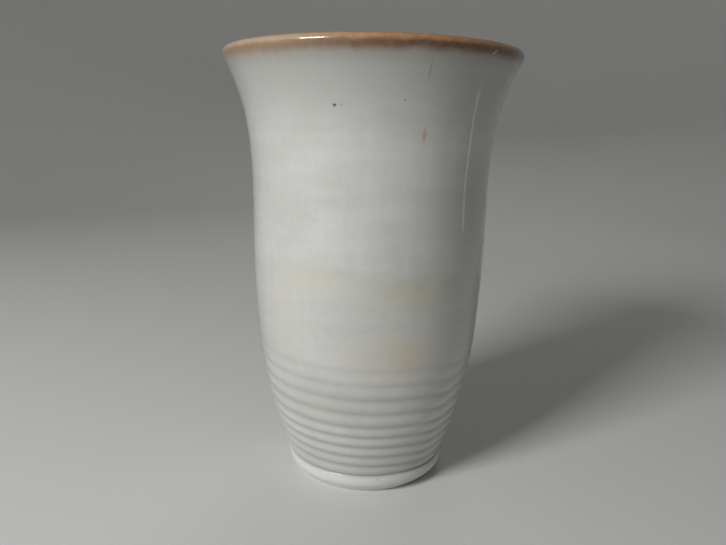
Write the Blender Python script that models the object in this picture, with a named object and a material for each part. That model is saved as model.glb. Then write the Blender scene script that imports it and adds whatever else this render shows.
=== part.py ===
"""A wheel-thrown stoneware vase: one fired clay body under three coats of glaze.

Standalone Blender 4.5 script: blender --background --python part.py
Metres, +Z up. The origin is on the vase's axis, in the plane that the foot ring rests on.

The potter throws and turns the clay, and glazes it afterwards. So the clay's line is worked out first, and
each coat is a thin turned skin that follows a stretch of that line.
"""

import math

import bmesh
import bpy

# Finished sizes, over the glaze
HEIGHT = 0.203  # foot ring's resting face to the top of the lip
LIP_RADIUS = 0.0686  # widest point of the flared lip
LIP_RISE = 0.0028  # from the lip's widest point up to its top
WAIST_HEIGHT = 0.136
WAIST_RADIUS = 0.0558  # the upright wall, just below the flare
SWELL_HEIGHT = 0.077
SWELL_RADIUS = 0.0538  # where the tapered lower wall becomes upright
FOOT_HEIGHT = 0.0098  # the notch that marks the top of the turned foot
FOOT_RADIUS = 0.0393
FOOT_STEP = 0.0004  # how far the wall's start sits inside the foot's side

# How the wall leans outward, as radius gained per height
FOOT_LEAN = 0.39
SWELL_LEAN = 0.085
WAIST_LEAN = 0.0
LIP_LEAN = 0.56

# Clay
WALL = 0.0052
LIP_WALL = 0.0030  # the wall is drawn thinner towards the lip
FLOOR = 0.0080
FLOOR_FILLET = 0.0130  # inside corner between floor and wall
FOOT_BEVEL = 0.0053  # width and height of the slope cut under the foot's edge
FOOT_ROUND = 0.0034  # rounding between that slope and the foot's side
FOOT_SHOULDER = 0.0013  # from the foot's upper edge to the notch above it
FOOT_FACE = 0.0056  # width of the flat ring that the vase stands on
RECESS_DEPTH = 0.0034  # hollow turned under the floor
RECESS_SLOPE = 0.0012  # how far the recess's side leans in as it rises

# Throwing rings: rounded rolls of clay with a finger groove between each two, closer near the foot
RING_DEPTH = 0.00055
CLOSE_PITCH = 0.0056
CLOSE_RINGS = 5
WIDE_PITCH = 0.0071
WIDE_RINGS = 4
FADING_RINGS = 3  # the highest rings grow shallow

# Glaze
GLAZE = 0.0005  # thickness of every coat
BOND_GAP = 0.0003  # between a coat and its clay, and between two coats
BARE_FOOT = 0.0010  # height of the clay that is wiped bare above the resting face
LIP_BAND = 0.0062  # the lip's own coat reaches this far below the top on both sides

# Facets
SEGMENTS = 32  # round the vase
ROUND_STEPS = 4  # in the foot's rounding and in the floor's fillet
LIP_STEPS = 6  # over the lip
UPPER_ROWS = 13  # from the highest ring to the lip
INNER_ROWS = 10  # up the inside wall
FOLD_ANGLE = math.radians(40)  # edges sharper than this are shaded sharp

COAT = GLAZE + BOND_GAP
CLAY_TOP = HEIGHT - COAT
CLAY_LIP_HEIGHT = HEIGHT - LIP_RISE
CLAY_FOOT_RADIUS = FOOT_RADIUS - COAT
BAND_EDGE = HEIGHT - LIP_BAND
FLOOR_TOP = RECESS_DEPTH + FLOOR


# ---- The clay's line, as (radius, height) points ----


def ease(start, end, z):
    """Radius at height z on the smooth line between two (height, radius, lean) marks."""
    span = end[0] - start[0]
    t = (z - start[0]) / span
    return (
        (2 * t**3 - 3 * t**2 + 1) * start[1]
        + (t**3 - 2 * t**2 + t) * span * start[2]
        + (3 * t**2 - 2 * t**3) * end[1]
        + (t**3 - t**2) * span * end[2]
    )


def outer_radius(z):
    """Outer radius of the clay at height z, with no rings."""
    foot = (FOOT_HEIGHT, CLAY_FOOT_RADIUS - FOOT_STEP, FOOT_LEAN)
    swell = (SWELL_HEIGHT, SWELL_RADIUS - COAT, SWELL_LEAN)
    waist = (WAIST_HEIGHT, WAIST_RADIUS - COAT, WAIST_LEAN)
    lip = (CLAY_LIP_HEIGHT, LIP_RADIUS - COAT, LIP_LEAN)
    if z < SWELL_HEIGHT:
        return ease(foot, swell, z)
    if z < WAIST_HEIGHT:
        return ease(swell, waist, z)
    return ease(waist, lip, z)


def wall_thickness(z):
    above_waist = max(0.0, z - WAIST_HEIGHT) / (CLAY_LIP_HEIGHT - WAIST_HEIGHT)
    return WALL + (LIP_WALL - WALL) * above_waist


def inner_radius(z):
    return outer_radius(z) - wall_thickness(z)


def groove_heights():
    heights = [FOOT_HEIGHT + CLOSE_PITCH * i for i in range(CLOSE_RINGS + 1)]
    return heights + [heights[-1] + WIDE_PITCH * (i + 1) for i in range(WIDE_RINGS)]


def even(start, end, steps):
    """Evenly spaced numbers from start to end, both included."""
    return [start + (end - start) * i / steps for i in range(steps + 1)]


def arc(center, radius, start, end, steps):
    """Points on an arc between two angles."""
    angles = even(start, end, steps)
    return [(center[0] + radius * math.cos(a), center[1] + radius * math.sin(a)) for a in angles]


def foot_line():
    """The foot's outside: out from its resting face along the slope, round, and up to its upper edge."""
    face_edge = (CLAY_FOOT_RADIUS - FOOT_BEVEL, 0.0)
    slope = math.radians(45)
    center = (CLAY_FOOT_RADIUS - FOOT_ROUND, FOOT_BEVEL + FOOT_ROUND * math.tan(slope / 2))
    upper_edge = (CLAY_FOOT_RADIUS, FOOT_HEIGHT - FOOT_SHOULDER)
    return [face_edge] + arc(center, FOOT_ROUND, -slope, 0, ROUND_STEPS) + [upper_edge]


def ringed_line():
    """The rings: each is a groove, then the two shoulders of a rounded roll."""
    grooves = groove_heights()
    line = []
    for i, (low, high) in enumerate(zip(grooves, grooves[1:])):
        fade = min(1.0, (len(grooves) - 1 - i) / (FADING_RINGS + 1))
        line.append((outer_radius(low) - RING_DEPTH * fade, low))
        for z in (low + (high - low) / 3, high - (high - low) / 3):
            line.append((outer_radius(z), z))
    return line


def upper_line():
    """The plain wall, from the end of the rings to the lip's widest point."""
    return [(outer_radius(z), z) for z in even(groove_heights()[-1], CLAY_LIP_HEIGHT, UPPER_ROWS)]


def lip_line():
    """Over the lip, between its widest point and the inside wall."""
    half = wall_thickness(CLAY_LIP_HEIGHT) / 2
    center = outer_radius(CLAY_LIP_HEIGHT) - half
    rise = CLAY_TOP - CLAY_LIP_HEIGHT
    angles = even(0, math.pi, LIP_STEPS)[1:-1]
    return [(center + half * math.cos(a), CLAY_LIP_HEIGHT + rise * math.sin(a)) for a in angles]


def inner_line():
    """The inside: down the wall from the lip, round the fillet, and along the floor to the axis."""
    center_height = FLOOR_TOP + FLOOR_FILLET
    gain = inner_radius(center_height + FLOOR_FILLET) - inner_radius(center_height)
    lean = math.atan(gain / FLOOR_FILLET)
    fillet_top = center_height - FLOOR_FILLET * math.sin(lean)
    center = (inner_radius(fillet_top) - FLOOR_FILLET * math.cos(lean), center_height)
    wall = [(inner_radius(z), z) for z in even(CLAY_LIP_HEIGHT, fillet_top, INNER_ROWS)]
    return wall[:-1] + arc(center, FLOOR_FILLET, -lean, -math.pi / 2, ROUND_STEPS) + [(0.0, FLOOR_TOP)]


def under_line():
    """The underside: from the axis across the recess and down to the inner edge of the resting face."""
    face_edge = CLAY_FOOT_RADIUS - FOOT_BEVEL - FOOT_FACE
    return [(0.0, RECESS_DEPTH), (face_edge - RECESS_SLOPE, RECESS_DEPTH), (face_edge, 0.0)]


# ---- Stretches of that line, and the skins that follow them ----


def crossing(a, b, z):
    share = (z - a[1]) / (b[1] - a[1])
    return (a[0] + (b[0] - a[0]) * share, z)


def above(line, z):
    """The stretch of a line that is above height z, cut where it crosses it."""
    kept = []
    for i, point in enumerate(line):
        before = line[i - 1] if i else point
        if (before[1] - z) * (point[1] - z) < 0:
            kept.append(crossing(before, point, z))
        if point[1] >= z:
            kept.append(point)
    return kept


def below(line, z):
    """The stretch of a line that is below height z, cut where it crosses it."""
    flipped = above([(r, -height) for r, height in line], -z)
    return [(r, -height) for r, height in flipped]


def offset(line, distance):
    """The line moved out of the clay, at right angles to itself. The clay is on the line's left."""
    moved = []
    for i, (r, z) in enumerate(line):
        before = line[max(i - 1, 0)]
        after = line[min(i + 1, len(line) - 1)]
        if r == 0.0:
            # The floor crosses the axis level, so its last point only rises.
            moved.append((r, z + distance))
            continue
        first, second = side_normal(before, (r, z)), side_normal((r, z), after)
        across = (first[0] + second[0], first[1] + second[1])
        length = math.hypot(*across)
        moved.append((r + distance * across[0] / length, z + distance * across[1] / length))
    return moved


def side_normal(a, b):
    """Unit vector out of the clay from the stretch a to b, or nothing where the line ends."""
    length = math.hypot(b[0] - a[0], b[1] - a[1])
    return ((b[1] - a[1]) / length, (a[0] - b[0]) / length) if length else (0.0, 0.0)


# ---- Solids ----


def turn(name, outline, material):
    """Spins an outline about the vase's axis into one closed, named object."""
    bm = bmesh.new()
    points = [bm.verts.new((r, 0.0, z)) for r, z in outline]
    edges = [bm.edges.new(pair) for pair in zip(points, points[1:] + points[:1])]
    bmesh.ops.spin(
        bm,
        geom=points + edges,
        cent=(0, 0, 0),
        axis=(0, 0, 1),
        angle=math.tau,
        steps=SEGMENTS,
        use_merge=True,
    )
    bmesh.ops.remove_doubles(bm, verts=bm.verts, dist=1e-6)
    bmesh.ops.recalc_face_normals(bm, faces=bm.faces)
    mesh = bpy.data.meshes.new(name)
    bm.to_mesh(mesh)
    bm.free()
    mesh.shade_smooth()
    mesh.set_sharp_from_angle(angle=FOLD_ANGLE)
    mesh.materials.append(material)
    obj = bpy.data.objects.new(name, mesh)
    bpy.context.scene.collection.objects.link(obj)


def coat(name, line, material):
    """A skin of glaze over a stretch of the clay's line."""
    turn(name, offset(line, COAT) + offset(line, BOND_GAP)[::-1], material)


def finish(name, color, roughness):
    material = bpy.data.materials.new(name)
    material.use_nodes = True
    shader = material.node_tree.nodes["Principled BSDF"]
    shader.inputs["Base Color"].default_value = (*color, 1)
    shader.inputs["Roughness"].default_value = roughness
    shader.inputs["Metallic"].default_value = 0.0
    return material


def main():
    for obj in list(bpy.data.objects):
        bpy.data.objects.remove(obj)

    outer = foot_line() + ringed_line() + upper_line()
    lip = lip_line()
    inner = inner_line()
    turn("thrown_body", under_line() + outer + lip + inner, finish("bare_clay", (0.50, 0.40, 0.29), 0.85))

    outside = below(above(outer, BARE_FOOT), BAND_EDGE - BOND_GAP)
    coat("outer_glaze", outside, finish("white_glaze", (0.55, 0.54, 0.50), 0.30))
    inside = below(inner, BAND_EDGE - BOND_GAP)
    coat("inner_glaze", inside, finish("liner_glaze", (0.53, 0.52, 0.47), 0.32))
    over_lip = above(outer, BAND_EDGE) + lip + above(inner, BAND_EDGE)
    coat("lip_glaze", over_lip, finish("iron_glaze", (0.36, 0.21, 0.12), 0.22))


main()
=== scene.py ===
"""The looks of a wheel-thrown stoneware vase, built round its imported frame. Metres, +Z up."""

import math

import bmesh
import bpy
from mathutils import Matrix, Vector, noise


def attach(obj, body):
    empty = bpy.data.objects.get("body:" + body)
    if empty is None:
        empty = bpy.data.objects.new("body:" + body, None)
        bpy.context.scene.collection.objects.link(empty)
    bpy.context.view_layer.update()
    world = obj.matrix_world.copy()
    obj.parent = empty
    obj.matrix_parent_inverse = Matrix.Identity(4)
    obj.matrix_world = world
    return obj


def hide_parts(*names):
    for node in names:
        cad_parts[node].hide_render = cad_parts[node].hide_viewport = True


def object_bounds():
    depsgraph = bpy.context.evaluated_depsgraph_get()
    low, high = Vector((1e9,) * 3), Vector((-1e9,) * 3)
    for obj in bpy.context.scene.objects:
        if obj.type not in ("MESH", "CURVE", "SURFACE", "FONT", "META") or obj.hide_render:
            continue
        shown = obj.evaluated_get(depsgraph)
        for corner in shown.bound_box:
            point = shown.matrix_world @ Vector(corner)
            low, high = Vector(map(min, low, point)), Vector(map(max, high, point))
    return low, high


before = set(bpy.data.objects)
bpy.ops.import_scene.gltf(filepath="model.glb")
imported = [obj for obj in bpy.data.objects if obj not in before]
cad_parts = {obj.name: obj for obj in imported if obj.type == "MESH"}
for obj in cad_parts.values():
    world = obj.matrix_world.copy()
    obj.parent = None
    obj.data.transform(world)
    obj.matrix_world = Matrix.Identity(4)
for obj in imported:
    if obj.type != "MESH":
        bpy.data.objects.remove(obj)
cad_low, cad_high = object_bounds()


# ==== The clay ====
# One lump of buff stoneware, thrown to a tall flared pot with finger rolls up its lower wall, then turned
# upside down and trimmed to a foot. It is bare only under the foot and in a hairline strip above it.

HEIGHT = cad_high.z - cad_low.z
LIP_RADIUS = cad_high.x
LIP_RISE = 0.0028
WAIST_HEIGHT = 0.136
WAIST_RADIUS = 0.0558
SWELL_HEIGHT = 0.077
SWELL_RADIUS = 0.0538
FOOT_HEIGHT = 0.0098  # the notch above the turned foot
FOOT_RADIUS = 0.0393
FOOT_STEP = 0.0004  # how far the wall's start sits inside the foot's side
FOOT_LEAN = 0.39  # leans are radius gained per height
SWELL_LEAN = 0.085
WAIST_LEAN = 0.0
LIP_LEAN = 0.56
WALL = 0.0052
LIP_WALL = 0.0030
FLOOR_TOP = 0.0114
FLOOR_FILLET = 0.0130
FOOT_BEVEL = 0.0053
FOOT_ROUND = 0.0034
FOOT_FACE = 0.0056
RECESS_DEPTH = 0.0034
RECESS_SLOPE = 0.0012
COAT = 0.0008  # glaze over the clay

CLAY_TOP = HEIGHT - COAT
CLAY_LIP_HEIGHT = HEIGHT - LIP_RISE
CLAY_FOOT_RADIUS = FOOT_RADIUS - COAT
FRONT = -math.pi / 2  # the side of the vase that faces -Y

TURN_STEPS = 240  # facets round the vase
RINGED_ROW = 0.00055  # height of a row of facets where the rolls are, and above them
PLAIN_ROW = 0.0026
RINGED_TOP = 0.074


def ease(start, end, z):
    """Radius at height z on the smooth line between two (height, radius, lean) marks."""
    span = end[0] - start[0]
    t = (z - start[0]) / span
    return (
        (2 * t**3 - 3 * t**2 + 1) * start[1]
        + (t**3 - 2 * t**2 + t) * span * start[2]
        + (3 * t**2 - 2 * t**3) * end[1]
        + (t**3 - t**2) * span * end[2]
    )


def outer_radius(z):
    """Outer radius of the clay at height z, before the rolls are pressed into it."""
    foot = (FOOT_HEIGHT, CLAY_FOOT_RADIUS - FOOT_STEP, FOOT_LEAN)
    swell = (SWELL_HEIGHT, SWELL_RADIUS - COAT, SWELL_LEAN)
    waist = (WAIST_HEIGHT, WAIST_RADIUS - COAT, WAIST_LEAN)
    lip = (CLAY_LIP_HEIGHT, LIP_RADIUS - COAT, LIP_LEAN)
    if z < SWELL_HEIGHT:
        return ease(foot, swell, z)
    if z < WAIST_HEIGHT:
        return ease(swell, waist, z)
    return ease(waist, lip, z)


def inner_radius(z):
    """Inner radius of the clay at height z. The wall thins from the waist to the lip."""
    above_waist = max(0.0, z - WAIST_HEIGHT) / (CLAY_LIP_HEIGHT - WAIST_HEIGHT)
    return outer_radius(z) - WALL - (LIP_WALL - WALL) * above_waist


def even(start, end, spacing):
    """Evenly spaced numbers from start to end, both included, about that far apart."""
    steps = max(1, round(abs(end - start) / spacing))
    return [start + (end - start) * i / steps for i in range(steps + 1)]


def arc(center, radius, start, end, spacing):
    """Points on an arc between two angles, in radians."""
    angles = even(start, end, spacing / radius)
    return [(center[0] + radius * math.cos(a), center[1] + radius * math.sin(a)) for a in angles]


def foot_line(low):
    """The foot's outside, from height low out along its bevel, round, and up to the notch."""
    slope = math.radians(45)
    face = CLAY_FOOT_RADIUS - FOOT_BEVEL
    center = (CLAY_FOOT_RADIUS - FOOT_ROUND, FOOT_BEVEL + FOOT_ROUND * math.tan(slope / 2))
    bend = arc(center, FOOT_ROUND, -slope, 0, 0.0005)
    bevel = [(face + z, z) for z in even(low, bend[0][1], 0.0006)]
    side = [(CLAY_FOOT_RADIUS, z) for z in even(bend[-1][1], FOOT_HEIGHT - FOOT_STEP, 0.0005)]
    return bevel[:-1] + bend + side[1:]


def wall_line(low, high):
    """The outside wall between two heights, with close rows where the rolls are."""
    edge = min(max(low, RINGED_TOP), high)
    close = even(low, edge, RINGED_ROW) if low < edge else [low]
    plain = even(edge, high, PLAIN_ROW) if edge < high else [high]
    return [(outer_radius(z), z) for z in close[:-1] + plain]


def lip_line():
    """Over the lip, from its widest point to the inside wall."""
    half = (outer_radius(CLAY_LIP_HEIGHT) - inner_radius(CLAY_LIP_HEIGHT)) / 2
    center = outer_radius(CLAY_LIP_HEIGHT) - half
    rise = CLAY_TOP - CLAY_LIP_HEIGHT
    angles = even(0, math.pi, math.radians(9))
    return [(center + half * math.cos(a), CLAY_LIP_HEIGHT + rise * math.sin(a)) for a in angles]


def inner_line(high, low=None):
    """The inside from height high down the wall, and round the fillet to the axis unless it stops at low."""
    center_height = FLOOR_TOP + FLOOR_FILLET
    gain = inner_radius(center_height + FLOOR_FILLET) - inner_radius(center_height)
    lean = math.atan(gain / FLOOR_FILLET)
    fillet_top = center_height - FLOOR_FILLET * math.sin(lean)
    wall = [(inner_radius(z), z) for z in even(high, low or fillet_top, 0.0017)]
    if low:
        return wall
    center = (inner_radius(fillet_top) - FLOOR_FILLET * math.cos(lean), center_height)
    fillet = arc(center, FLOOR_FILLET, -lean, -math.pi / 2, 0.0014)
    floor = [(r, FLOOR_TOP) for r in even(fillet[-1][0], 0.0, 0.0012)]
    return wall[:-1] + fillet[:-1] + floor


def offset(line, distance):
    """The line moved out of the clay, at right angles to itself. The clay is on the line's left."""
    moved = []
    for i, (r, z) in enumerate(line):
        before = line[max(i - 1, 0)]
        after = line[min(i + 1, len(line) - 1)]
        across = (after[1] - before[1], before[0] - after[0])
        length = math.hypot(*across)
        away = (across[0] / length, across[1] / length) if r else (0.0, 1.0)
        moved.append((r + distance * away[0], z + distance * away[1]))
    return moved


def fade(value, low, high):
    """0 below low, 1 above high, and smooth between them. The other way round if low is the higher."""
    t = min(1.0, max(0.0, (value - low) / (high - low)))
    return t * t * (3 - 2 * t)


CLOSE_PITCH = 0.0056  # finger rolls low on the wall
WIDE_PITCH = 0.0071  # and higher up, where the hand rose faster
CLOSE_ROLLS = 5
ROLL_DEPTH = 0.00086
ROLL_CREASE = 0.22  # how softly two rolls meet in their groove: 0 is a knife's cut
NOTCH_DEPTH = 0.0005
NOTCH_WIDTH = 0.0016
MARK_DEPTH = 0.00012  # the faint throwing marks on the plain wall
MARK_PITCH = 0.0083
INSIDE_DEPTH = 0.00045
INSIDE_PITCH = 0.0094
OVALITY = 0.00020
LUMP = 0.00035
LIP_DIP = 0.00012


def roll_groove(angle, z):
    """How far down in a groove between two rolls a place is: 1 at its bottom, 0 on a roll's crest.

    The rolls are one spiral, since the pot turned under a finger that rose. Each roll is round, and the
    groove beside it narrow.
    """
    change = FOOT_HEIGHT + CLOSE_PITCH * CLOSE_ROLLS
    turns = (z - FOOT_HEIGHT) / CLOSE_PITCH if z < change else CLOSE_ROLLS + (z - change) / WIDE_PITCH
    swell = math.sin(math.pi * (turns + (angle - FRONT) / math.tau))
    full = math.hypot(1, ROLL_CREASE)
    return (full - math.hypot(swell, ROLL_CREASE)) / (full - ROLL_CREASE)


def roll_strength(z):
    """The rolls are deepest low down, and fade out before the waist."""
    return fade(z, FOOT_HEIGHT + 0.0015, FOOT_HEIGHT + 0.0045) * (
        0.3 * fade(z, 0.072, 0.064) + 0.4 * fade(z, 0.066, 0.048) + 0.3 * fade(z, 0.052, 0.024)
    )


def notch(z):
    """How far down in the notch above the foot a height is, from 0 to 1."""
    return math.exp(-(((z - FOOT_HEIGHT) / NOTCH_WIDTH) ** 2))


def outside_relief(angle, z):
    """Distance that the outside stands in from its plain line."""
    rolls = ROLL_DEPTH * roll_strength(z) * roll_groove(angle, z)
    turns = z / MARK_PITCH + (angle - FRONT) / math.tau
    upright = fade(z, 0.066, 0.080) * fade(z, 0.196, 0.180)
    swing = noise.noise(Vector((math.cos(angle), math.sin(angle), z * 70)))
    marks = MARK_DEPTH / 2 * upright * (1 + swing) * (1 + math.cos(math.tau * turns))
    return NOTCH_DEPTH * notch(z) + rolls + marks


def inside_relief(angle, z):
    """Distance that the inside wall stands in from its plain line, where the fingers lifted the clay."""
    turns = z / INSIDE_PITCH + (angle - FRONT) / math.tau
    wave = 0.5 + 0.5 * math.cos(math.tau * turns)
    return INSIDE_DEPTH * wave * fade(z, FLOOR_TOP + 0.004, FLOOR_TOP + 0.016) * fade(z, 0.190, 0.150)


def hand_shape(point):
    """Moves a point as the pot is out of true: a little oval and uneven, and its lip not quite level."""
    radius = math.hypot(point.x, point.y)
    if radius < 1e-5:
        return point
    angle = math.atan2(point.y, point.x)
    free = fade(point.z, 0.004, 0.060) * fade(point.z, HEIGHT, HEIGHT - 0.030)
    oval = OVALITY * math.cos(2 * (angle - 0.6))
    lump = LUMP * noise.noise(Vector(point) * 24)
    scale = 1 + free * (oval + lump) / radius * min(1.0, radius / 0.02)
    top = fade(point.z, HEIGHT - 0.030, HEIGHT)
    dip = LIP_DIP * top * (1 + noise.noise(Vector((math.cos(angle), math.sin(angle), 0.3)) * 1.4))
    return Vector((point.x * scale, point.y * scale, point.z - max(0.0, dip)))


def turned(name, outline, steps, relief):
    """Spins a closed outline into a solid, presses the relief into it and sets it out of true.

    relief(angle, radius, z) gives how far each point moves in towards the axis.
    """
    bm = bmesh.new()
    points = [bm.verts.new((r, 0.0, z)) for r, z in outline]
    edges = [bm.edges.new(pair) for pair in zip(points, points[1:] + points[:1])]
    bmesh.ops.spin(
        bm,
        geom=points + edges,
        cent=(0, 0, 0),
        axis=(0, 0, 1),
        angle=math.tau,
        steps=steps,
        use_merge=True,
    )
    bmesh.ops.remove_doubles(bm, verts=bm.verts, dist=1e-7)
    bmesh.ops.recalc_face_normals(bm, faces=bm.faces)
    for vert in bm.verts:
        radius = math.hypot(vert.co.x, vert.co.y)
        if radius > 1e-5:
            inward = relief(math.atan2(vert.co.y, vert.co.x), radius, vert.co.z)
            vert.co.x *= 1 - inward / radius
            vert.co.y *= 1 - inward / radius
        vert.co = hand_shape(vert.co)
    mesh = bpy.data.meshes.new(name)
    bm.to_mesh(mesh)
    bm.free()
    mesh.shade_smooth()
    mesh.set_sharp_from_angle(angle=math.radians(50))
    piece = bpy.data.objects.new(name, mesh)
    bpy.context.scene.collection.objects.link(piece)
    return piece


def both_sides(angle, radius, z):
    """Relief of the outside on the outside of the wall, and of the inside on the inside."""
    if z < FOOT_HEIGHT - 0.002:
        return 0.0
    middle = (outer_radius(min(z, CLAY_LIP_HEIGHT)) + inner_radius(min(z, CLAY_LIP_HEIGHT))) / 2
    return outside_relief(angle, z) if radius > middle else inside_relief(angle, z)


def add_node(tree, kind, inputs=None, **settings):
    """Adds a shader node. Each input is a plain value, or the socket that feeds it."""
    made = tree.nodes.new(kind)
    for key, value in settings.items():
        setattr(made, key, value)
    for key, value in (inputs or {}).items():
        if isinstance(value, bpy.types.NodeSocket):
            tree.links.new(value, made.inputs[key])
        else:
            made.inputs[key].default_value = value
    return made


def arithmetic(tree, operation, first, second, third=None):
    """The result of one sum on two or three values."""
    values = {0: first, 1: second}
    if third is not None:
        values[2] = third
    return add_node(tree, "ShaderNodeMath", values, operation=operation).outputs[0]


def ramp(tree, value, low, high, start=0.0, end=1.0):
    """value's smooth step from start at low to end at high."""
    inputs = {"Value": value, "From Min": low, "From Max": high, "To Min": start, "To Max": end}
    made = add_node(tree, "ShaderNodeMapRange", inputs, interpolation_type="SMOOTHSTEP")
    return made.outputs["Result"]


def blended(tree, factor, first, second, blend="MIX"):
    """Two colours mixed by a factor."""
    made = add_node(tree, "ShaderNodeMix", data_type="RGBA", blend_type=blend)
    for socket, value in zip((made.inputs[0], made.inputs[6], made.inputs[7]), (factor, first, second)):
        if isinstance(value, bpy.types.NodeSocket):
            tree.links.new(value, socket)
        else:
            socket.default_value = value
    return made.outputs[2]


def stretched(tree, place, scale, size, detail=2.0, roughness=0.5, shift=0.0):
    """Noise with features of about the given size, in metres, longer along an axis whose scale is small."""
    mapping = add_node(
        tree, "ShaderNodeMapping", {"Vector": place, "Scale": scale, "Location": (shift, shift, shift)}
    )
    inputs = {"Vector": mapping.outputs[0], "Scale": 1 / size, "Detail": detail, "Roughness": roughness}
    return add_node(tree, "ShaderNodeTexNoise", inputs).outputs["Fac"]


def new_material(name):
    """A material's node tree and its empty shader."""
    material = bpy.data.materials.new(name)
    material.use_nodes = True
    return material, material.node_tree, material.node_tree.nodes["Principled BSDF"]


BUFF = (0.56, 0.47, 0.36, 1)
TOASTED = (0.47, 0.34, 0.22, 1)
IRON_GROG = (0.20, 0.12, 0.07, 1)


def bare_clay():
    """Trimmed stoneware: buff, toasted warmer at its edges, with iron specks and fine trimming lines."""
    material, tree, shader = new_material("bare_clay")
    place = add_node(tree, "ShaderNodeTexCoord").outputs["Object"]
    cloud = stretched(tree, place, (1, 1, 1), 0.014, detail=4)
    color = blended(tree, ramp(tree, cloud, 0.35, 0.65), BUFF, TOASTED)
    grog = stretched(tree, place, (1, 1, 1), 0.0011, detail=3, roughness=0.7)
    color = blended(tree, ramp(tree, grog, 0.60, 0.68, 0.0, 0.7), color, IRON_GROG)
    lines = stretched(tree, place, (0.05, 0.05, 1), 0.0009, detail=2)
    height = arithmetic(tree, "ADD", arithmetic(tree, "MULTIPLY", grog, 0.6), lines)
    bump = add_node(tree, "ShaderNodeBump", {"Strength": 0.5, "Distance": 0.00012, "Height": height})
    tree.links.new(color, shader.inputs["Base Color"])
    tree.links.new(ramp(tree, cloud, 0.3, 0.7, 0.74, 0.88), shader.inputs["Roughness"])
    tree.links.new(bump.outputs[0], shader.inputs["Normal"])
    return material


def under_line():
    """The underside: from the axis across the recess, down its side and out over the resting face."""
    outer = CLAY_FOOT_RADIUS - FOOT_BEVEL
    inner = outer - FOOT_FACE
    recess = [(r, RECESS_DEPTH) for r in even(0.0, inner - RECESS_SLOPE, 0.0016)]
    return recess + [(inner, 0.0), (inner + FOOT_FACE / 2, 0.0)]


clay_outline = under_line() + foot_line(0.0) + wall_line(FOOT_HEIGHT, CLAY_LIP_HEIGHT)
clay_outline += lip_line()[1:-1] + inner_line(CLAY_LIP_HEIGHT)
clay = turned("turned_clay", clay_outline, TURN_STEPS // 2, both_sides)
clay.data.materials.append(bare_clay())
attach(clay, "root")
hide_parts("thrown_body")


# ==== The outer glaze ====
# A pale satin glaze poured over the outside and wiped off the resting face. It runs thin over the crests of
# the rolls, lies thicker and greyer in the grooves, where the grey also stands as painted shade, and the
# flame has blushed it in patches.

BARE_STRIP = 0.0007
BAND_EDGE = HEIGHT - 0.0062  # where the lip's own coat starts
SKIN_DEPTH = 0.00006  # how deep the waves and pinholes of the glaze's skin are
SPOT_DEPTH = 0.025  # how far through the wall a blush or an iron mark reaches

WHITE = (0.590, 0.590, 0.566, 1)
CLOUD = (0.553, 0.552, 0.522, 1)
# Pooled grey for the grooves, darker than pooling alone: painted shade in the grooves.
POOLED_AND_SHADED = (0.400, 0.402, 0.374, 1)
# The foot's white is brighter than the wall: partly a plain white without clouds, partly painted light on
# its upright side.
FOOT_WHITE_AND_LIGHT = (0.70, 0.70, 0.69, 1)
# The grey up the neck is partly the glaze's own tone and partly painted shade on the down-facing flare.
NECK_GREY_AND_SHADE = (0.375, 0.377, 0.350, 1)
BAND_TINGE = (0.28, 0.242, 0.190, 1)
PALE_TAN = (0.50, 0.385, 0.265, 1)
TAN = (0.50, 0.29, 0.155, 1)
DEEP_TAN = (0.42, 0.22, 0.10, 1)
# The umbers make the dark band under the lip's edge: partly iron, partly painted shade under the lip's roll.
PALE_UMBER_AND_SHADE = (0.29, 0.19, 0.115, 1)
UMBER_AND_SHADE = (0.130, 0.060, 0.027, 1)
WARM_UMBER_AND_SHADE = (0.185, 0.092, 0.044, 1)
FINE_SPECK = (0.29, 0.21, 0.13, 1)
BOLD_SPECK = (0.12, 0.080, 0.055, 1)

# Straw, olive and peach clouds that the flame left across the middle of the wall. Each has its angle in
# degrees to the right of the front, its height, its reach across and up, its colour and its strength.
BLUSHES = (
    (-27, 0.106, (0.028, 0.012), (0.56, 0.55, 0.43, 1), 0.75),
    (-44, 0.085, (0.022, 0.030), (0.60, 0.585, 0.50, 1), 0.6),
    (20, 0.102, (0.034, 0.016), (0.48, 0.475, 0.36, 1), 0.85),
    (11, 0.073, (0.032, 0.016), (0.57, 0.52, 0.40, 1), 0.85),
    (17, 0.075, (0.013, 0.011), (0.64, 0.51, 0.40, 1), 0.3),
    (74, 0.096, (0.024, 0.018), (0.57, 0.53, 0.40, 1), 0.6),
    (140, 0.070, (0.026, 0.016), (0.52, 0.51, 0.39, 1), 0.6),
    (-112, 0.102, (0.022, 0.014), (0.60, 0.54, 0.42, 1), 0.6),
    (-155, 0.060, (0.020, 0.015), (0.64, 0.53, 0.41, 1), 0.5),
)

# Iron marks, given in the same way: a bold speck and its tail, a small speck, two runs below the lip, and a
# pinhole in the foot.
IRON_MARKS = (
    (-14, 0.1772, (0.00125, 0.00100), (0.05, 0.045, 0.045, 1), 0.95),
    (-11.3, 0.1774, (0.00150, 0.00050), (0.28, 0.28, 0.26, 1), 0.6),
    (12.2, 0.1795, (0.00060, 0.00060), (0.20, 0.14, 0.06, 1), 0.8),
    (19.9, 0.1905, (0.00070, 0.0062), (0.33, 0.22, 0.13, 1), 0.7),
    (21.5, 0.1664, (0.00150, 0.0048), (0.45, 0.31, 0.19, 1), 0.7),
    (9.3, 0.0082, (0.00060, 0.00055), (0.14, 0.12, 0.10, 1), 0.8),
)


def add_pooling_and_shade(piece, relief):
    """Stores how deep in a groove each point lies, for the glaze to pool there and, on the outside, for
    painted shade in the grooves.
    """
    pooling_and_shade = piece.data.attributes.new("pooling_and_shade", "FLOAT", "POINT")
    for vert, value in zip(piece.data.vertices, pooling_and_shade.data):
        value.value = relief(math.atan2(vert.co.y, vert.co.x), vert.co.z)


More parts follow.
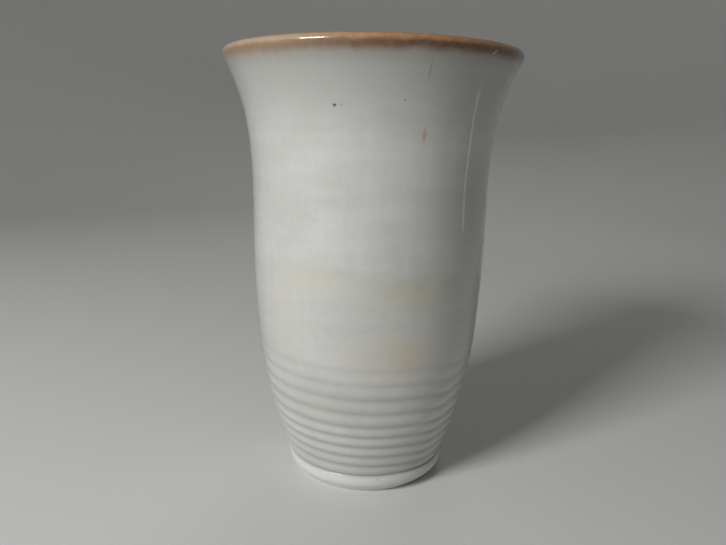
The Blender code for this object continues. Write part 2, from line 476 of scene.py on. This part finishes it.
def group_inputs(group, rows):
    """Gives a node group its inputs, as rows of label, kind and default."""
    for label, kind, default in rows:
        group.interface.new_socket(label, in_out="INPUT", socket_type=kind).default_value = default
    return group.nodes.new("NodeGroupInput").outputs


def group_outputs(group, rows):
    """Gives a node group its outputs, as rows of label, kind and the socket that feeds each."""
    for label, kind, _ in rows:
        group.interface.new_socket(label, in_out="OUTPUT", socket_type=kind)
    end = group.nodes.new("NodeGroupOutput")
    for label, _, value in rows:
        group.links.new(value, end.inputs[label])


def iron_specks(group, place, size, cell, share, strength):
    """Dark dots of iron that the fire drew through the glaze: one to a cell, in a share of the cells."""
    jumble = stretched(group, place, (1, 1, 1), size * 2, detail=1)
    wobbled = add_node(
        group,
        "ShaderNodeVectorMath",
        {0: place, 1: arithmetic(group, "MULTIPLY", jumble, size * 0.8)},
        operation="ADD",
    ).outputs[0]
    dots = add_node(group, "ShaderNodeTexVoronoi", {"Vector": wobbled, "Scale": 1 / cell, "Randomness": 1.0})
    chance = add_node(group, "ShaderNodeSeparateColor", {"Color": dots.outputs["Color"]})
    near = ramp(group, dots.outputs["Distance"], size / cell, size / cell * 0.4)
    chosen = arithmetic(group, "LESS_THAN", chance.outputs["Red"], share)
    faint = ramp(group, chance.outputs["Green"], 0.0, 1.0, 0.25, 1.0)
    spots = arithmetic(group, "MULTIPLY", near, arithmetic(group, "MULTIPLY", chosen, faint))
    return arithmetic(group, "MULTIPLY", spots, strength)


def spot(group, place, angle, height, radius, size):
    """A soft spot on the wall, 1 at its middle. angle is in degrees from the front, size across and up."""
    turn = math.radians(angle) + FRONT
    middle = (radius * math.cos(turn), radius * math.sin(turn), height)
    turned_place = add_node(
        group,
        "ShaderNodeMapping",
        {"Vector": place, "Location": middle, "Rotation": (0, 0, turn), "Scale": (SPOT_DEPTH, *size)},
        vector_type="TEXTURE",
    )
    away = add_node(group, "ShaderNodeVectorMath", {0: turned_place.outputs[0]}, operation="LENGTH")
    return ramp(group, away.outputs["Value"], 1.0, 0.0)


def clouded(group, place, given, clouds, bands, runs, mottle):
    """The pale glaze: clouds of two whites, shaded by throwing bands, runs and mottling, and blushed."""
    color = blended(group, ramp(group, clouds, 0.36, 0.66), given["White"], given["Cloud"])
    band_tint = ramp(group, bands, 0.25, 0.75, 0.955, 1.025)
    run_tint = ramp(group, runs, 0.25, 0.75, 0.975, 1.02)
    mottle_tint = ramp(group, mottle, 0.3, 0.7, 0.972, 1.018)
    tint = arithmetic(group, "MULTIPLY", arithmetic(group, "MULTIPLY", band_tint, run_tint), mottle_tint)
    grey = add_node(group, "ShaderNodeCombineColor", {"Red": tint, "Green": tint, "Blue": tint})
    color = blended(group, 1.0, color, grey.outputs[0], "MULTIPLY")
    ragged = ramp(group, stretched(group, place, (1, 1, 1.5), 0.012, detail=4), 0.22, 0.66, 0.15, 1.0)
    for angle, z, size, shade, strength in BLUSHES:
        mask = arithmetic(group, "MULTIPLY", spot(group, place, angle, z, SWELL_RADIUS, size), ragged)
        mask = arithmetic(group, "MULTIPLY", mask, arithmetic(group, "MULTIPLY", given["Blush"], strength))
        color = blended(group, mask, color, shade)
    return color


def burnt_lip(group, place, color, runs, mottle):
    """The glaze greys up the neck, partly in its own tone and partly as painted shade on the down-facing
    flare, then iron burns through it on the lip, in runs, darkest under the edge where the umber is partly
    painted shade. One side is redder.
    """
    where = add_node(group, "ShaderNodeSeparateXYZ", {"Vector": place}).outputs
    depth = arithmetic(group, "SUBTRACT", HEIGHT, where["Z"])
    wander = stretched(group, place, (1, 1, 1), 0.030, detail=2, shift=3.0)
    ragged = arithmetic(group, "MULTIPLY", arithmetic(group, "SUBTRACT", runs, 0.5), 0.0016)
    ragged = arithmetic(group, "MULTIPLY_ADD", arithmetic(group, "SUBTRACT", wander, 0.5), 0.0020, ragged)
    down = arithmetic(group, "ADD", depth, ragged)
    # Greyer towards the lip: partly the glaze's tone, partly painted shade where the flare faces down.
    color = blended(group, ramp(group, depth, 0.048, 0.006, 0.0, 0.85), color, NECK_GREY_AND_SHADE)
    color = blended(group, ramp(group, down, 0.0125, 0.0060, 0.0, 0.5), color, BAND_TINGE)
    redder = ramp(group, where["X"], -0.060, 0.015)
    tan = blended(group, ramp(group, mottle, 0.38, 0.60), TAN, DEEP_TAN)
    # Under the edge the band turns dark umber: partly iron, partly painted shade under the lip's roll.
    umber_and_shade = blended(group, ramp(group, mottle, 0.35, 0.65), UMBER_AND_SHADE, WARM_UMBER_AND_SHADE)
    brown = blended(
        group,
        ramp(group, down, 0.0012, 0.0036),
        blended(group, redder, PALE_TAN, tan),
        blended(group, redder, PALE_UMBER_AND_SHADE, umber_and_shade),
    )
    return blended(group, ramp(group, down, 0.0075, 0.0040), color, brown)


def iron_marked(group, place, color, blush):
    """The chosen iron marks, where the coat is blushed, and specks strewn all over."""
    for angle, z, size, shade, strength in IRON_MARKS:
        mark = spot(group, place, angle, z, outer_radius(z) + COAT, size)
        mark = arithmetic(group, "MULTIPLY", ramp(group, mark, 0.0, 0.9), blush)
        color = blended(group, arithmetic(group, "MULTIPLY", mark, strength), color, shade)
    color = blended(group, iron_specks(group, place, 0.00032, 0.0070, 0.35, 0.55), color, FINE_SPECK)
    return blended(group, iron_specks(group, place, 0.00050, 0.0300, 0.15, 0.9), color, BOLD_SPECK)


def fired_glaze_group():
    """The fired surface that every coat shares: its colour, roughness, gloss and the height of its skin."""
    group = bpy.data.node_groups.new("fired_glaze", "ShaderNodeTree")
    given = group_inputs(
        group,
        [
            ("White", "NodeSocketColor", WHITE),
            ("Cloud", "NodeSocketColor", CLOUD),
            ("Pooled and shaded", "NodeSocketColor", POOLED_AND_SHADED),
            ("Pooling and shade", "NodeSocketFloat", 0.0),
            ("Blush", "NodeSocketFloat", 1.0),
        ],
    )
    place = add_node(group, "ShaderNodeTexCoord").outputs["Object"]
    height = add_node(group, "ShaderNodeSeparateXYZ", {"Vector": place}).outputs["Z"]
    clouds = stretched(group, place, (1, 1, 1.6), 0.040, detail=3)
    bands = stretched(group, place, (0.10, 0.10, 1), 0.0065, detail=3, roughness=0.6)
    runs = stretched(group, place, (1, 1, 0.09), 0.0042, detail=3)
    mottle = stretched(group, place, (1, 1, 1), 0.0028, detail=4, roughness=0.65)

    color = clouded(group, place, given, clouds, bands, runs, mottle)
    # Grooves and the notch take the pooled grey: pooled glaze, darkened as painted shade in the creases.
    color = blended(group, arithmetic(group, "MULTIPLY", given["Pooling and shade"], 0.75), color, given["Pooled and shaded"])
    # The foot is painted whiter: partly a plain white without clouds, partly painted light where its upright
    # side faces the key.
    foot_light_mask = ramp(group, height, FOOT_HEIGHT + 0.0004, FOOT_HEIGHT - 0.0014, 0.0, 0.9)
    color = blended(group, foot_light_mask, color, FOOT_WHITE_AND_LIGHT)
    color = burnt_lip(group, place, color, runs, mottle)
    color = iron_marked(group, place, color, given["Blush"])

    # The skin waves a little and has a few pinholes. It is satin under a clear gloss, and drier on the foot.
    pinholes = iron_specks(group, place, 0.00030, 0.0055, 0.35, 1.0)
    skin = arithmetic(group, "MULTIPLY", stretched(group, place, (1, 1, 1), 0.007, detail=1), 0.7)
    skin = arithmetic(group, "MULTIPLY_ADD", bands, 0.35, skin)
    skin = arithmetic(group, "MULTIPLY_ADD", pinholes, -1.6, skin)
    group_outputs(
        group,
        [
            ("Color", "NodeSocketColor", color),
            ("Roughness", "NodeSocketFloat", ramp(group, clouds, 0.3, 0.7, 0.30, 0.38)),
            ("Skin", "NodeSocketFloat", skin),
            ("Gloss", "NodeSocketFloat", ramp(group, height, FOOT_HEIGHT, FOOT_HEIGHT + 0.006, 0.15, 0.9)),
        ],
    )
    return group


fired_glaze = fired_glaze_group()


def glaze(name, colors, blush, skin_depth=SKIN_DEPTH):
    """One of the coats: the fired surface with its own colours, under a thin clear gloss."""
    material, tree, shader = new_material(name)
    pooling_and_shade = add_node(tree, "ShaderNodeAttribute", attribute_name="pooling_and_shade").outputs["Fac"]
    surface = add_node(
        tree,
        "ShaderNodeGroup",
        {"White": colors[0], "Cloud": colors[1], "Pooled and shaded": colors[2], "Pooling and shade": pooling_and_shade, "Blush": blush},
        node_tree=fired_glaze,
    )
    bump = add_node(
        tree,
        "ShaderNodeBump",
        {"Strength": 0.6, "Distance": skin_depth, "Height": surface.outputs["Skin"]},
    )
    tree.links.new(surface.outputs["Color"], shader.inputs["Base Color"])
    tree.links.new(surface.outputs["Roughness"], shader.inputs["Roughness"])
    tree.links.new(bump.outputs[0], shader.inputs["Normal"])
    shader.inputs["Specular IOR Level"].default_value = 0.25
    tree.links.new(surface.outputs["Gloss"], shader.inputs["Coat Weight"])
    shader.inputs["Coat Roughness"].default_value = 0.05
    return material


def groove_pooling_and_shade(angle, z):
    """Grooves and the notch above the foot: pooled glaze there, darkened further as painted shade."""
    return min(1.0, notch(z) + roll_strength(z) * roll_groove(angle, z))


def coat_outline(line):
    """A closed outline over a stretch of the clay, with its glaze side first."""
    return offset(line, COAT) + line[::-1]


clay_wall = wall_line(FOOT_HEIGHT, BAND_EDGE)
outer = turned(
    "outer_coat",
    coat_outline(foot_line(BARE_STRIP) + clay_wall),
    TURN_STEPS,
    lambda angle, radius, z: outside_relief(angle, z) * fade(z, FOOT_HEIGHT - 0.004, FOOT_HEIGHT),
)
add_pooling_and_shade(outer, groove_pooling_and_shade)
outer.data.materials.append(glaze("white_glaze", (WHITE, CLOUD, POOLED_AND_SHADED), 1.0))
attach(outer, "root")
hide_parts("outer_glaze")


# ==== The lip's glaze ====
# A band of iron-bearing glaze wiped over the lip after the pale coat, thin on the edge and thick below it;
# its dark umber below the edge is partly painted shade.
# It melts into the outer coat and the liner where they meet.

LIP_SKIN = 0.00005  # the lip's skin is a little smoother

lip_outline = coat_outline(
    wall_line(BAND_EDGE, CLAY_LIP_HEIGHT)[:-1] + lip_line() + inner_line(CLAY_LIP_HEIGHT, BAND_EDGE)[1:]
)
lip = turned("lip_coat", lip_outline, TURN_STEPS, both_sides)
add_pooling_and_shade(lip, lambda angle, z: 0.0)
lip.data.materials.append(glaze("iron_glaze", (WHITE, CLOUD, POOLED_AND_SHADED), 0.0, LIP_SKIN))
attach(lip, "root")
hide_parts("lip_glaze")


# ==== The liner ====
# The same pale glaze, swilled round the inside and poured out before the outside was done. It is creamier,
# since it lies over the marks of the fingers that lifted the wall, and it has pooled on the floor.

LINER_WHITE = (0.590, 0.580, 0.535, 1)
LINER_CLOUD = (0.530, 0.518, 0.468, 1)
LINER_POOLED = (0.450, 0.450, 0.395, 1)
FULL_POOL = 0.0011  # a mark this deep would hold as much glaze as the floor does


def liner_pooling(angle, z):
    """The glaze lies thick on the floor and round its fillet, and a little in the finger marks."""
    floor = fade(z, FLOOR_TOP + 0.010, FLOOR_TOP + 0.001)
    return max(floor, inside_relief(angle, z) / FULL_POOL)


inside = inner_line(BAND_EDGE)
liner = turned(
    "liner_coat",
    coat_outline(inside),
    TURN_STEPS * 2 // 3,
    lambda angle, radius, z: inside_relief(angle, z),
)
add_pooling_and_shade(liner, liner_pooling)
liner.data.materials.append(glaze("liner_glaze", (LINER_WHITE, LINER_CLOUD, LINER_POOLED), 0.0))
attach(liner, "root")
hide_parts("inner_glaze")


# ==== The table, the lights and the camera ====
# A pale matte sweep that curves up into its own backdrop all the way round. The key light is soft, from the
# left and above. A weak one stands behind, and a slim faint one beside the vase, which the glaze mirrors as
# a streak. The camera stands close, a little below the lip, and looks down.

SWEEP_FLOOR = 1.1
SWEEP_BEND = 0.9
SWEEP_WALL = 1.6

bm = bmesh.new()
sweep_line = [(r, 0.0) for r in even(0.0, SWEEP_FLOOR, 0.11)]
sweep_line += arc((SWEEP_FLOOR, SWEEP_BEND), SWEEP_BEND, -math.pi / 2, 0.0, 0.09)[1:]
sweep_line += [(SWEEP_FLOOR + SWEEP_BEND, SWEEP_WALL)]
points = [bm.verts.new((r, 0.0, z)) for r, z in sweep_line]
edges = [bm.edges.new(pair) for pair in zip(points, points[1:])]
bmesh.ops.spin(
    bm,
    geom=points + edges,
    cent=(0, 0, 0),
    axis=(0, 0, 1),
    angle=math.tau,
    steps=96,
    use_merge=True,
)
bmesh.ops.remove_doubles(bm, verts=bm.verts, dist=1e-6)
bmesh.ops.recalc_face_normals(bm, faces=bm.faces)
bmesh.ops.reverse_faces(bm, faces=bm.faces)
sweep_mesh = bpy.data.meshes.new("sweep")
bm.to_mesh(sweep_mesh)
bm.free()
sweep_mesh.shade_smooth()
sweep = bpy.data.objects.new("sweep", sweep_mesh)
bpy.context.scene.collection.objects.link(sweep)
paper, _, paper_shader = new_material("pale_paper")
paper_shader.inputs["Base Color"].default_value = (0.76, 0.76, 0.75, 1)
paper_shader.inputs["Roughness"].default_value = 0.9
paper_shader.inputs["Specular IOR Level"].default_value = 0.1
sweep_mesh.materials.append(paper)


def soft_light(name, place, aim, size, power, mirrored=True):
    """A soft box that points at a place. The glaze needn't mirror it."""
    lamp = bpy.data.lights.new(name, "AREA")
    lamp.shape = "RECTANGLE"
    lamp.size, lamp.size_y = size
    lamp.energy = power
    box = bpy.data.objects.new(name, lamp)
    box.location = place
    box.rotation_euler = (Vector(aim) - Vector(place)).to_track_quat("-Z", "Y").to_euler()
    box.visible_camera = False
    box.visible_glossy = mirrored
    bpy.context.scene.collection.objects.link(box)


middle = (0, 0, HEIGHT / 2)
soft_light("key", (-0.75, -0.79, 0.66), middle, (0.36, 0.34), 11)
soft_light("back", (0.25, 1.1, 0.9), middle, (0.7, 0.7), 1.8, mirrored=False)
soft_light("strip", (0.35, 0.02, 0.104), (0.04, -0.04, 0.14), (0.014, 0.052), 0.0018)

world = bpy.data.worlds.new("studio")
world.use_nodes = True
background = world.node_tree.nodes.new("ShaderNodeBackground")
background.inputs["Color"].default_value = (0.95, 0.97, 1.0, 1)
background.inputs["Strength"].default_value = 0.06
output = world.node_tree.nodes.new("ShaderNodeOutputWorld")
world.node_tree.links.new(background.outputs[0], output.inputs[0])
bpy.context.scene.world = world
bpy.context.scene.view_settings.view_transform = "Standard"

LENS_MM = 32.1
CAMERA_PLACE = (0, -0.3143, 0.1673)
CAMERA_PAN = 0.0088
CAMERA_DOWN = 0.214  # how far it looks down
CAMERA_ROLL = 0.018

lens = bpy.data.cameras.new("camera")
lens.sensor_width = 36.0
lens.lens = LENS_MM
lens.clip_start = 0.01
camera = bpy.data.objects.new("camera", lens)
look = Matrix.Rotation(CAMERA_PAN, 4, "Z") @ Matrix.Rotation(math.pi / 2 - CAMERA_DOWN, 4, "X")
look = look @ Matrix.Rotation(CAMERA_ROLL, 4, "Z")
camera.matrix_world = Matrix.Translation(CAMERA_PLACE) @ look
bpy.context.scene.collection.objects.link(camera)
bpy.context.scene.camera = camera
